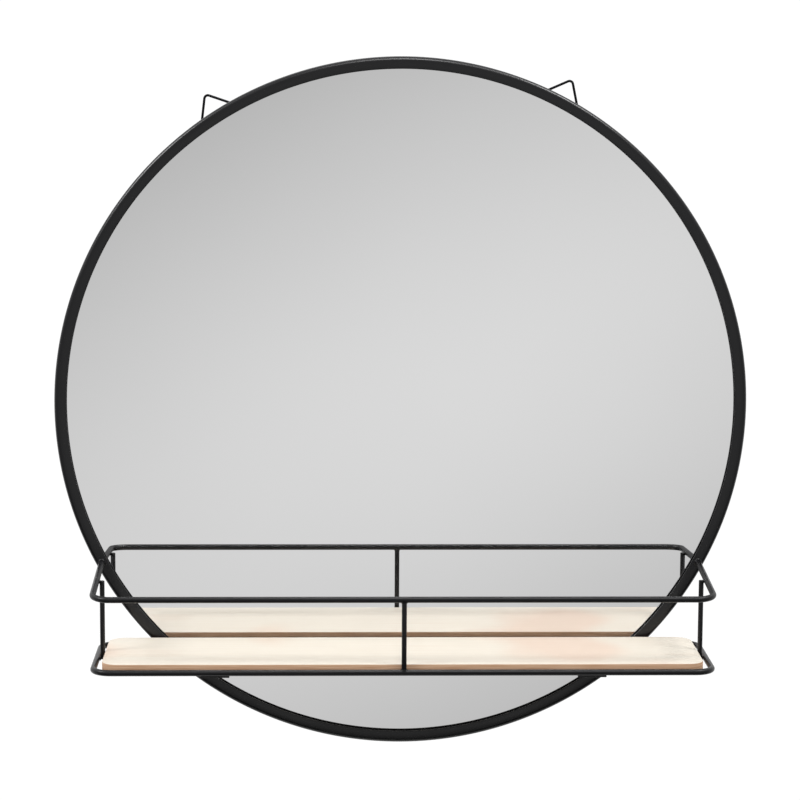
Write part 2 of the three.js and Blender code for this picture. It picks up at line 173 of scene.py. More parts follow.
def tint_over(
    tree: Tree,
    ground: Socket | Colour,
    tint: str,
    measure: Socket,
    shows: Pair,
    share: float = 1.0,
    fade: Fade = Fade.SOFT,
) -> Socket:
    """Lays a tint over a colour, as strongly as a measure says.

    Args:
        tree: the tree to add its nodes to.
        ground: the colour below, or the output that gives it.
        tint: the colour on top, as "#RRGGBB".
        measure: the output that says where the tint lies.
        shows: the measure from which the tint shows, and the one at which it is full.
        share: how much of the tint shows where it is full.
        fade: how it comes in between the two.

    Returns:
        The output that gives the tinted colour.
    """
    strength = add_node(
        tree,
        "ShaderNodeMapRange",
        {"Value": measure, "From Min": shows[0], "From Max": shows[1], "To Max": share},
        interpolation_type=fade.value,
    )
    # The inputs 6 and 7 are the two colours.
    layers = {0: strength.outputs[0], 6: ground, 7: linear(tint)}
    return add_node(tree, "ShaderNodeMix", layers, data_type="RGBA").outputs[2]


# ---- finishes


@dataclass(frozen=True)
class Pattern:
    """Soft patches of a real size, which tint a finish, stand up from it, or both."""

    size: Triple  # length of a patch along X, Y and Z
    detail: float  # how many finer scales the patches have
    swirl: float = 0.0  # how far they are pulled out of shape
    tint: str = ""  # their colour, or none
    shows: Pair = (0.0, 1.0)  # the noise from which the tint shows, and at which it is full
    share: float = 1.0  # how much of the tint shows where it is full
    fade: Fade = Fade.EVEN  # how it comes in between the two
    height: float = 0.0  # how far the patches stand up

    def noise_in(self, tree: Tree, place: Socket) -> Socket:
        """Adds the noise that makes the patches.

        Args:
            tree: the tree to add it to.
            place: the coordinates that it is laid out by.

        Returns:
            The output that gives the noise.
        """
        scale = {0: place, 1: [1 / length for length in self.size]}
        scaled = add_node(tree, "ShaderNodeVectorMath", scale, operation="MULTIPLY")
        look = {"Scale": 1.0, "Detail": self.detail, "Distortion": self.swirl}
        look["Vector"] = scaled.outputs[0]
        return add_node(tree, "ShaderNodeTexNoise", look).outputs[0]


Patterns = tuple[Pattern, ...]


@dataclass(frozen=True)
class Finish:
    """A finish: a ground colour with patterns over it."""

    name: str
    slot: Slot  # of the pieces that have it
    ground: str  # the colour under the patterns
    patterns: Patterns  # what lies over the ground, in order
    roughness: Pair  # the least and the most, between which the first pattern moves it
    metallic: float = 0.0
    sheen_level: float = 0.5  # how strongly it mirrors, where it isn't metal
    cut_from: Triple = (0.0, 0.0, 0.0)  # where in a larger sheet its pattern starts

    def even(self) -> Inputs:
        """The shader's values that are the same all over."""
        return {"Metallic": self.metallic, "Specular IOR Level": self.sheen_level}

    def surface(self, tree: Tree) -> Inputs:
        """Lays the patterns over the ground.

        Args:
            tree: the material's node tree.

        Returns:
            What the shader's inputs are set to or fed by.
        """
        origin = {0: add_node(tree, "ShaderNodeTexCoord", {}).outputs["Object"], 1: self.cut_from}
        place = add_node(tree, "ShaderNodeVectorMath", origin, operation="ADD").outputs[0]
        noises = [pattern.noise_in(tree, place) for pattern in self.patterns]
        colour: Socket | Colour = linear(self.ground)
        inputs = self.even()
        for pattern, patches in zip(self.patterns, noises):
            if pattern.tint:
                colour = tint_over(
                    tree, colour, pattern.tint, patches, pattern.shows, pattern.share, pattern.fade
                )
            if pattern.height:
                relief = {"Height": patches, "Distance": pattern.height}
                inputs["Normal"] = add_node(tree, "ShaderNodeBump", relief).outputs[0]
        inputs["Base Color"] = colour
        least, most = self.roughness
        inputs["Roughness"] = least
        if most > least:
            gloss = {"Value": noises[0], "From Min": NOISE_SPAN[0], "From Max": NOISE_SPAN[1]}
            gloss |= {"To Min": least, "To Max": most}
            inputs["Roughness"] = add_node(tree, "ShaderNodeMapRange", gloss).outputs[0]
        return inputs

    def material(self) -> bpy.types.Material:
        """Makes the finish's material the first time, and gives the same one after that.

        Returns:
            The material.
        """
        made = bpy.data.materials.get(self.name)
        if made is None:
            made = bpy.data.materials.new(self.name)
            made.use_nodes = True
            tree = made.node_tree
            fill_inputs(tree, tree.nodes["Principled BSDF"], self.surface(tree))
        return made


@dataclass(frozen=True)
class PowderCoatedSteel(Finish):
    """Black polyester powder, sprayed on steel and baked.

    The eye sees a near-black satin skin: a soft light line along each corner and wire, broken
    up by a faint orange peel.
    """

    name: str = "powder_coated_steel"
    slot: Slot = Slot.POWDER_COAT
    ground: str = "#09090B"
    patterns: Patterns = (
        # Patches where the coat is thicker.
        Pattern(size=(45 * MM,) * 3, detail=3.0, tint="#111114"),
        # The orange peel is about 1 mm in truth: drawn coarser, so that it shows.
        Pattern(size=(2.4 * MM,) * 3, detail=2.0, height=0.03 * MM),
    )
    roughness: Pair = (0.27, 0.36)


@dataclass(frozen=True)
class SilveredFloatGlass(Finish):
    """Float glass, silvered behind.

    The eye sees a true mirror, a trace greyer than what it reflects, under the second, faint
    reflection of the glass's own face.
    """

    name: str = "silvered_float_glass"
    slot: Slot = Slot.SILVERED_GLASS
    ground: str = "#FAFAFA"
    # A slow change in the silver's depth.
    patterns: Patterns = (Pattern(size=(180 * MM,) * 3, detail=1.0, tint="#F6F6F6"),)
    roughness: Pair = (0.0, 0.0)
    metallic: float = 1.0
    glass_ior: float = 1.52

    def even(self) -> Inputs:
        """The silver's values, and those of the clear glass over it."""
        glass = {"Coat Weight": 1.0, "Coat Roughness": 0.0, "Coat IOR": self.glass_ior}
        return super().even() | glass


@dataclass(frozen=True)
class RawHardboard(Finish):
    """Fibreboard, pressed and left raw.

    The eye sees a dull brown sheet with short fibres and soft darker clouds.
    """

    name: str = "raw_hardboard"
    slot: Slot = Slot.HARDBOARD
    ground: str = "#5B4029"
    patterns: Patterns = (
        Pattern(size=(35 * MM,) * 3, detail=6.0, tint="#7A5A3E"),
        # The size is the length of a fibre bundle.
        Pattern(
            size=(1.6 * MM,) * 3,
            detail=3.0,
            swirl=2.5,
            tint="#A07C58",
            shows=(0.52, 0.78),
            share=0.7,
            height=0.06 * MM,
        ),
    )
    roughness: Pair = (0.85, 0.85)


@dataclass(frozen=True)
class PaleVeneer(Finish):
    """Pale wood veneer, sanded and lacquered matt.

    The eye sees a cream top with a straight, faint grain along its length, and slow drifts
    between a yellower and a pinker cream.
    """

    name: str = "pale_veneer"
    slot: Slot = Slot.VENEER
    ground: str = "#D9D2C5"
    patterns: Patterns = (
        Pattern(
            size=(130 * MM,) * 3, detail=1.0, tint="#D6C3B3", shows=(0.48, 0.64), fade=Fade.SOFT
        ),
        # The grain is about 1 mm wide in truth: drawn coarser, so that it shows.
        Pattern(
            size=(120 * MM, 1.8 * MM, 1.8 * MM),
            detail=4.0,
            swirl=0.4,
            tint="#CBB5A0",
            shows=(0.45, 0.8),
            share=0.4,
            height=0.02 * MM,
        ),
    )
    roughness: Pair = (0.55, 0.55)
    cut_from: Triple = (-0.3, 0.29, 0.0)


@dataclass(frozen=True)
class SawnBoardEdge(Finish):
    """The sawn edge of the board, left raw.

    The eye sees a band of tan, darker than the veneer, with thin streaks along it.
    """

    name: str = "sawn_board_edge"
    slot: Slot = Slot.VENEER
    ground: str = "#C29573"
    patterns: Patterns = (
        Pattern(
            size=(30 * MM, 30 * MM, 1.1 * MM),
            detail=5.0,
            tint="#DDB898",
            shows=NOISE_SPAN,
            height=0.04 * MM,
        ),
    )
    roughness: Pair = (0.8, 0.8)


@dataclass(frozen=True)
class ZincPlatedSteel(Finish):
    """Steel, electroplated with zinc and passivated.

    The eye sees a soft metal shine with small cloudy patches.
    """

    name: str = "zinc_plated_steel"
    slot: Slot = Slot.ZINC
    ground: str = "#B9BCBF"
    patterns: Patterns = (Pattern(size=(4 * MM,) * 3, detail=4.0, tint="#A3A49C"),)
    roughness: Pair = (0.24, 0.42)
    metallic: float = 1.0


@dataclass(frozen=True)
class BlackenedWire(ZincPlatedSteel):
    """Spring wire, plated and then blackened.

    The eye sees a dark metal with a dull shine along the wire.
    """

    name: str = "blackened_spring_wire"
    slot: Slot = Slot.BLACK_WIRE
    ground: str = "#2B2B2D"
    patterns: Patterns = (Pattern(size=(4 * MM,) * 3, detail=4.0, tint="#202022"),)
    roughness: Pair = (0.3, 0.42)


@dataclass(frozen=True)
class MouldedRubber(Finish):
    """Rubber, moulded with a matt skin.

    The eye sees a soft black that hardly shines, with a fine spark-eroded grain.
    """

    name: str = "moulded_rubber"
    slot: Slot = Slot.RUBBER
    ground: str = "#1C1C1D"
    patterns: Patterns = (
        # The grain is about 0.1 mm in truth: drawn coarser, so that it shows.
        Pattern(size=(0.7 * MM,) * 3, detail=3.0, tint="#2C2B2A", height=0.04 * MM),
    )
    roughness: Pair = (0.8, 0.8)


POWDER_COAT = PowderCoatedSteel()
# The powder wraps thinly round a wire and bakes a little duller there.
WIRE_COAT = PowderCoatedSteel("powder_coated_wire", roughness=(0.33, 0.42), sheen_level=0.36)
MIRROR_GLASS = SilveredFloatGlass()
HARDBOARD = RawHardboard()
VENEER = PaleVeneer()
BOARD_EDGE = SawnBoardEdge()
ZINC_PLATE = ZincPlatedSteel()
BLACK_WIRE = BlackenedWire()
RUBBER = MouldedRubber()


# ---- shared mesh making


def mesh_of(name: str, shape: Shape) -> bpy.types.Mesh:
    """Closes a built shape and turns it into a smooth-shaded mesh.

    Args:
        name: the mesh's name.
        shape: the shape, which is freed.

    Returns:
        The mesh.
    """
    bmesh.ops.remove_doubles(shape, verts=shape.verts, dist=SAME_POINT)
    bmesh.ops.recalc_face_normals(shape, faces=shape.faces)
    mesh = bpy.data.meshes.new(name)
    shape.to_mesh(mesh)
    shape.free()
    smooth(mesh)
    return mesh


def smooth(mesh: bpy.types.Mesh) -> None:
    """Shades a mesh smooth between its sharp edges."""
    mesh.polygons.foreach_set("use_smooth", [True] * len(mesh.polygons))
    mesh.set_sharp_from_angle(angle=SHARP_EDGE)


def loft_into(
    shape: Shape, rings: Sequence[Ring], ring_closed: bool = True, path_closed: bool = False
) -> None:
    """Joins rings of points into a closed skin.

    Args:
        shape: what the skin is added to.
        rings: the rings in order, each with as many points.
        ring_closed: whether each ring's last point joins its first.
        path_closed: whether the last ring joins the first. If not, both end rings are capped.
    """
    rows = [[shape.verts.new(point) for point in ring] for ring in rings]
    count = len(rows[0])
    sides = count if ring_closed else count - 1
    following = rows[1:] + rows[:1] if path_closed else rows[1:]
    for near, far in zip(rows, following):
        for i in range(sides):
            j = (i + 1) % count
            shape.faces.new((near[i], near[j], far[j], far[i]))
    if not path_closed:
        shape.faces.new(rows[0])
        shape.faces.new(rows[-1])


def circle(centre: Vector, across: Vector, up: Vector, radius: float, sides: int) -> Ring:
    """The points of a circle in the plane of across and up, two unit vectors that are square."""
    angles = (FULL_TURN * i / sides for i in range(sides))
    return [centre + radius * (math.cos(a) * across + math.sin(a) * up) for a in angles]


def arc(centre: Pair, radius: float, start: float, end: float, steps: int) -> list[Pair]:
    """The points of an arc in a profile, from a start to an end in degrees, in equal steps."""
    angles = (math.radians(start + (end - start) * i / steps) for i in range(steps + 1))
    return [(centre[0] + radius * math.cos(a), centre[1] + radius * math.sin(a)) for a in angles]


def revolve_into(
    shape: Shape, profile: Sequence[Pair], place: Matrix, segments: int, hoop: bool = False
) -> None:
    """Revolves a profile about an axis.

    Args:
        shape: what the solid is added to.
        profile: pairs of radius and height along the axis.
        place: where the axis goes: its own Z is the axis.
        segments: how many steps a turn has.
        hoop: whether the profile closes on itself, and not on the axis.
    """
    turns = (FULL_TURN * i / segments for i in range(segments))
    rings = [
        [place @ Vector((r * math.cos(t), r * math.sin(t), h)) for r, h in profile] for t in turns
    ]
    loft_into(shape, rings, ring_closed=hoop, path_closed=True)


def axis_place(origin: Vector, axis: Vector) -> Matrix:
    """The matrix of a place whose own Z runs along an axis, a unit vector."""
    return Matrix.Translation(origin) @ axis.to_track_quat("Z", "Y").to_matrix().to_4x4()


def slab_into(shape: Shape, outline: Outline, up: Vector, thickness: float, ease: float) -> None:
    """Builds a flat plate with eased edges.

    Args:
        shape: what the plate is added to.
        outline: the plate's lower outline.
        up: the unit vector square to the plate.
        thickness: from face to face.
        ease: the radius of the eased edges.
    """
    turns = [QUARTER_TURN * i / EASE_STEPS for i in range(EASE_STEPS + 1)]
    lower = [(ease * (1 - math.sin(t)), ease * (1 - math.cos(t))) for t in turns]
    upper = [(inset, thickness - height) for inset, height in reversed(lower)]
    rings = [
        [point - out * inset + up * height for point, out in outline]
        for inset, height in lower + upper
    ]
    loft_into(shape, rings)


@dataclass(frozen=True)
class Wire:
    """Round wire, bent in one plane."""

    radius: float
    bend: float = 0.0  # radius of its bends, at the centre line
    normal: Triple = (0, 0, 1)  # square to the plane that it is bent in
    finish: Finish = WIRE_COAT
    body: Body = Body.MIRROR
    sides: int = 28
    bend_steps: int = 18
    end_ease: float = 0.35 * MM  # rounding of a cut end

    def bend_at(self, before: Vector, corner: Vector, after: Vector) -> list[tuple]:
        """The stations of one bend.

        Args:
            before: the corner before it.
            corner: where the straight runs would meet.
            after: the corner after it.

        Returns:
            Pairs of point and direction.
        """
        arrive = (corner - before).normalized()
        leave = (after - corner).normalized()
        turn = arrive.angle(leave)
        inward = (leave - arrive * arrive.dot(leave)).normalized()
        centre = corner - arrive * self.bend * math.tan(turn / 2) + inward * self.bend
        angles = (turn * i / self.bend_steps for i in range(self.bend_steps + 1))
        return [
            (
                centre - inward * self.bend * math.cos(a) + arrive * self.bend * math.sin(a),
                arrive * math.cos(a) + inward * math.sin(a),
            )
            for a in angles
        ]

    def end_at(self, end: Vector, along: Vector) -> list[Ring]:
        """The rings of one cut end, from its face inwards.

        Args:
            end: the middle of the end face.
            along: the direction into the wire.

        Returns:
            Rings of points, which shrink towards the face.
        """
        up = Vector(self.normal)
        return [
            circle(
                end + along * self.end_ease * (1 - math.sin(t)),
                up.cross(along),
                up,
                self.radius - self.end_ease * (1 - math.cos(t)),
                self.sides,
            )
            for t in (QUARTER_TURN * i / EASE_STEPS for i in range(EASE_STEPS, -1, -1))
        ]

    def build(self, name: str, corners: Sequence[Vector], node: str, closed: bool = False) -> None:
        """Bends the wire through its corners and makes it a piece.

        Args:
            name: the piece's name.
            corners: where its straight runs meet, and its two ends if it is open.
            node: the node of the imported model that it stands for.
            closed: whether the wire is a loop.
        """
        up = Vector(self.normal)
        count = len(corners)
        stations = [
            station
            for i in (range(count) if closed else range(1, count - 1))
            for station in self.bend_at(corners[i - 1], corners[i], corners[(i + 1) % count])
        ]
        rings = [circle(p, up.cross(d), up, self.radius, self.sides) for p, d in stations]
        if not closed:
            first = (corners[1] - corners[0]).normalized()
            last = (corners[-1] - corners[-2]).normalized()
            # A ring seen from the other end runs the other way round.
            order = [(self.sides // 2 - i) % self.sides for i in range(self.sides)]
            tail = [[ring[i] for i in order] for ring in self.end_at(corners[-1], -last)]
            rings = self.end_at(corners[0], first) + rings + tail[::-1]
        shape = bmesh.new()
        loft_into(shape, rings, path_closed=closed)
        add_piece(mesh_of(name, shape), [self.finish], node, body=self.body)


def add_piece(
    mesh: bpy.types.Mesh, finishes: Sequence[Finish], *nodes: str, body: Body = Body.MIRROR
) -> None:
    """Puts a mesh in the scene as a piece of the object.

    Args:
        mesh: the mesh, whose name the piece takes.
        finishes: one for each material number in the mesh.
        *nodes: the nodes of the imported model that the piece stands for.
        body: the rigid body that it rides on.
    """
    piece = bpy.data.objects.new(mesh.name, mesh)
    bpy.context.scene.collection.objects.link(piece)
    for finish in finishes:
        mesh.materials.append(finish.material())
    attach(piece, body.value)
    if nodes:
        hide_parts(*nodes)


# ---- frame and glass


@dataclass
class RingFrame:
    """The hoop: an L-section, rolled into a ring and powder coated."""

    lip_width: float = 10.5 * MM
    wall: float = 1.5 * MM
    outer_corner: float = 3.6 * MM
    crook: float = 0.5 * MM  # fillet inside the corner
    lip_ease: float = 0.4 * MM
    segments: int = 360
    corner_steps: int = 6

    def build(self) -> None:
        """Rolls the section into a ring."""
        low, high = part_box("ring_frame")
        inner = high.x - self.lip_width
        inside = high.x - self.wall
        back_of_lip = low.y + self.wall
        corner, crook, ease = self.outer_corner, self.crook, self.lip_ease
        profile = [
            *arc((inner + ease, low.y + ease), ease, 180, 270, EASE_STEPS),
            *arc((high.x - corner, low.y + corner), corner, 270, 360, self.corner_steps),
            *arc((high.x - ease, high.y - ease), ease, 0, 90, EASE_STEPS),
            *arc((inside + ease, high.y - ease), ease, 90, 180, EASE_STEPS),
            *arc((inside - crook, back_of_lip + crook), crook, 0, -90, EASE_STEPS),
            *arc((inner + ease, back_of_lip - ease), ease, 90, 180, EASE_STEPS),
        ]
        shape = bmesh.new()
        revolve_into(shape, profile, axis_place(Vector(), Y_AXIS), self.segments, hoop=True)
        add_piece(mesh_of("hoop", shape), [POWDER_COAT], "ring_frame")


@dataclass
class MirrorGlass:
    """The glass, whose silver shows a little below its face."""

    arris: float = 0.5 * MM
    segments: int = 240

    def build(self) -> None:
        """Builds the disc, with its face where the silver seems to lie through the glass."""
        low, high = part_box("mirror_glass")
        radius = high.x
        face = low.y + (high.y - low.y) / MIRROR_GLASS.glass_ior
        profile = [
            (0, face),
            (radius - self.arris, face),
            (radius, face + self.arris),
            (radius, high.y),
            (0, high.y),
        ]
        shape = bmesh.new()
        revolve_into(shape, profile, axis_place(Vector(), Y_AXIS), self.segments)
        add_piece(mesh_of("silvered_glass_disc", shape), [MIRROR_GLASS], "mirror_glass")


# ---- screws


@dataclass
class PanScrew:
    """A pan head wood screw with a cross recess."""

    shank: float = 1.5 * MM
    head_height: float = 1.8 * MM
    dome: float = 1.1 * MM
    dome_steps: int = 5
    point: float = 1.5 * MM
    recess_span: float = 3.6 * MM
    recess_width: float = 0.9 * MM
    recess_depth: float = 1.1 * MM
    recess_taper: float = 0.55  # its size at the bottom, as a share of that at the top
    segments: int = 40

    def recess(self, top: float) -> bpy.types.Mesh:
        """The shape that the driver's recess leaves.

        Args:
            top: height of the head's top along the screw.

        Returns:
            A cross that tapers into the head.
        """
        arm, half = self.recess_span / 2, self.recess_width / 2
        cross = [
            Matrix.Rotation(quarter * QUARTER_TURN, 3, "Z") @ Vector((x, y, 0))
            for quarter in range(4)
            for x, y in ((arm, half), (half, half), (half, arm))
        ]
        # It widens as evenly above the head, so that it has its own size at the top.
        below = [p * self.recess_taper + Z_AXIS * (top - self.recess_depth) for p in cross]
        above = [p * (2 - self.recess_taper) + Z_AXIS * (top + self.recess_depth) for p in cross]
        shape = bmesh.new()
        loft_into(shape, [below, above])
        return mesh_of("recess", shape)

    def build(self, node: str, axis: Vector) -> None:
        """Builds the screw that stands for a node.

        Args:
            node: the screw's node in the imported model.
            axis: the direction from its point to its head.
        """
        low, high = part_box(node)
        length = abs((high - low).dot(axis))
        head = (high.x - low.x) / 2
        under = length - self.head_height
        profile = [
            (0, 0),
            (self.shank, self.point),
            (self.shank, under),
            (head, under),
            *arc((head - self.dome, length - self.dome), self.dome, 0, 90, self.dome_steps),
            (0, length),
        ]
        shape = bmesh.new()
        revolve_into(shape, profile, Matrix.Identity(4), self.segments)
        mesh = carved(mesh_of(node.replace("screw", "pan_screw"), shape), self.recess(length))
        mesh.transform(axis_place((low + high - axis * length) / 2, axis))
        add_piece(mesh, [ZINC_PLATE], node)


def carved(mesh: bpy.types.Mesh, cutter: bpy.types.Mesh) -> bpy.types.Mesh:
    """Cuts a shape out of a mesh.

    Args:
        mesh: the closed mesh to cut, which is used up.
        cutter: the closed mesh to take away, which is used up.

    Returns:
        The mesh with the shape cut out.
    """
    name = mesh.name
    block, tool = (bpy.data.objects.new(made.name, made) for made in (mesh, cutter))
    for made in (block, tool):
        bpy.context.scene.collection.objects.link(made)
    cut = block.modifiers.new("cut", "BOOLEAN")
    cut.operation = "DIFFERENCE"
    cut.solver = "EXACT"
    cut.object = tool
    shown = block.evaluated_get(bpy.context.evaluated_depsgraph_get())
    result = bpy.data.meshes.new_from_object(shown)
    for made in (block, tool):
        used = made.data
        bpy.data.objects.remove(made)
        bpy.data.meshes.remove(used)
    result.name = name
    smooth(result)
    return result


# ---- back


@dataclass
class Backing:
    """What closes the back: the panel, the frame's fixing tabs with their screws, the bumpers."""

    tab_count: int = 6
    tab_width: float = 16 * MM
    tab_length: float = 18 * MM
    tab_ease: float = 0.3 * MM
    tab_steps: int = 24
    bumper_round: float = 1.2 * MM
    bumper_steps: int = 6
    bumper_segments: int = 64

    def tab_outline(self, outer: float, level: float, turn: Matrix) -> Outline:
        """The outline of a tab, square at the frame and round at its free end.

        Args:
            outer: distance of its square end from the mirror's centre.
            level: its depth.
            turn: turns it to its place round the mirror.

        Returns:
            The outline.
        """
        half = self.tab_width / 2
        middle = outer - self.tab_length + half
        sweep = (180, 360, self.tab_steps)
        points = [(half, outer), (-half, outer), *arc((0, middle), half, *sweep)]
        ways = [(1, 1), (-1, 1), *arc((0, 0), 1, *sweep)]
        return [
            (turn @ Vector((x, level, z)), turn @ Vector((out_x, 0, out_z)))
            for (x, z), (out_x, out_z) in zip(points, ways)
        ]

    def build(self) -> None:
        """Dresses the panel and builds what is fixed to it."""
        panel = frame["nodes"]["back_panel"]
        panel.data.materials.clear()
        panel.data.materials.append(HARDBOARD.material())
        log.info("back_panel: carried over, %s", HARDBOARD.name)
        low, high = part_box("fixing_tab_1")
        screw = PanScrew()
        for number in range(1, self.tab_count + 1):
            angle = FULL_TURN * (number - 1) / self.tab_count
            outline = self.tab_outline(high.z, low.y, Matrix.Rotation(angle, 3, "Y"))
            shape = bmesh.new()
            slab_into(shape, outline, Y_AXIS, high.y - low.y, self.tab_ease)
            add_piece(mesh_of(f"tab_{number}", shape), [POWDER_COAT], f"fixing_tab_{number}")
            screw.build(f"fixing_tab_screw_{number}", Y_AXIS)
        for side in (Place.LEFT, Place.RIGHT):
            self.build_bumper(side)

    def build_bumper(self, side: Place) -> None:
        """Builds a bumper: a pad with a rounded rim.

        Args:
            side: where it sits.
        """
        low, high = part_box(f"bumper_{side}")
        middle = (low + high) / 2
        height = high.y - low.y
        radius = (high.z - low.z) / 2
        rim = self.bumper_round
        profile = [
            (0, 0),
            (radius, 0),
            *arc((radius - rim, height - rim), rim, 0, 90, self.bumper_steps),
            (0, height),
        ]
        shape = bmesh.new()
        place = axis_place(Vector((middle.x, low.y, middle.z)), Y_AXIS)
        revolve_into(shape, profile, place, self.bumper_segments)
        add_piece(mesh_of(f"pad_{side}", shape), [RUBBER], f"bumper_{side}")


# ---- basket


@dataclass
class Welds:
    """Small welds, which join the basket's wires to each other, the frame and the straps."""

    leg: float = 1.3 * MM  # how far a fillet spreads on each side
    bite: float = 0.3 * MM  # how far it runs into what it joins
    ripple: float = 0.12 * MM
    ripple_length: float = 1.5 * MM
    steps: int = 8
    sides: int = 28

    def uneven(self, point: Vector) -> Vector:
        """Moves a point a little, as a hand-made weld is never quite even."""
        return point + noise.noise_vector(point / self.ripple_length) * self.ripple

    def fillet_into(
        self,
        shape: Shape,
        end: Vector,
        along: Vector,
        radius: float,
        seat: Callable[[Vector], Vector],
    ) -> None:
        """Builds a fillet round the end of a wire that butts on a surface.

        Args:
            shape: what the fillet is added to.
            end: the middle of the wire's end.
            along: the direction from the end into the wire.
            radius: of the wire.
            seat: drops a point beside the wire on the surface that the wire butts on.
        """
        across = along.orthogonal().normalized()
        up = along.cross(across)
        inner = [seat(p) for p in circle(end, across, up, radius - self.bite, self.sides)]
        rings = [[p + along * self.leg for p in inner]]
        for i in range(self.steps + 1):
            turn = QUARTER_TURN * i / self.steps
            spread = radius + self.leg * (1 - math.cos(turn))
            rise = along * self.leg * (1 - math.sin(turn))
            ring = circle(end, across, up, spread, self.sides)
            rings.append([self.uneven(seat(p) + rise) for p in ring])
        rings.append([p - along * self.bite for p in inner])
        loft_into(shape, rings)

    def bead_into(self, shape: Shape, centre: Vector, half_sizes: Triple) -> None:
        """Builds a bead: an uneven egg that fills the gap where two pieces cross.

        Args:
            shape: what the bead is added to.
            centre: its middle.
            half_sizes: half its length along X, Y and Z.
        """
        profile = arc((0, 0), 1.0, -90, 90, 2 * self.steps)
        rings = []
        for i in range(self.sides):
            turn = FULL_TURN * i / self.sides
            ring = [Vector((r * math.cos(turn), r * math.sin(turn), h)) for r, h in profile]
            rings.append([self.uneven(centre + p * Vector(half_sizes)) for p in ring])
        loft_into(shape, rings, ring_closed=False, path_closed=True)


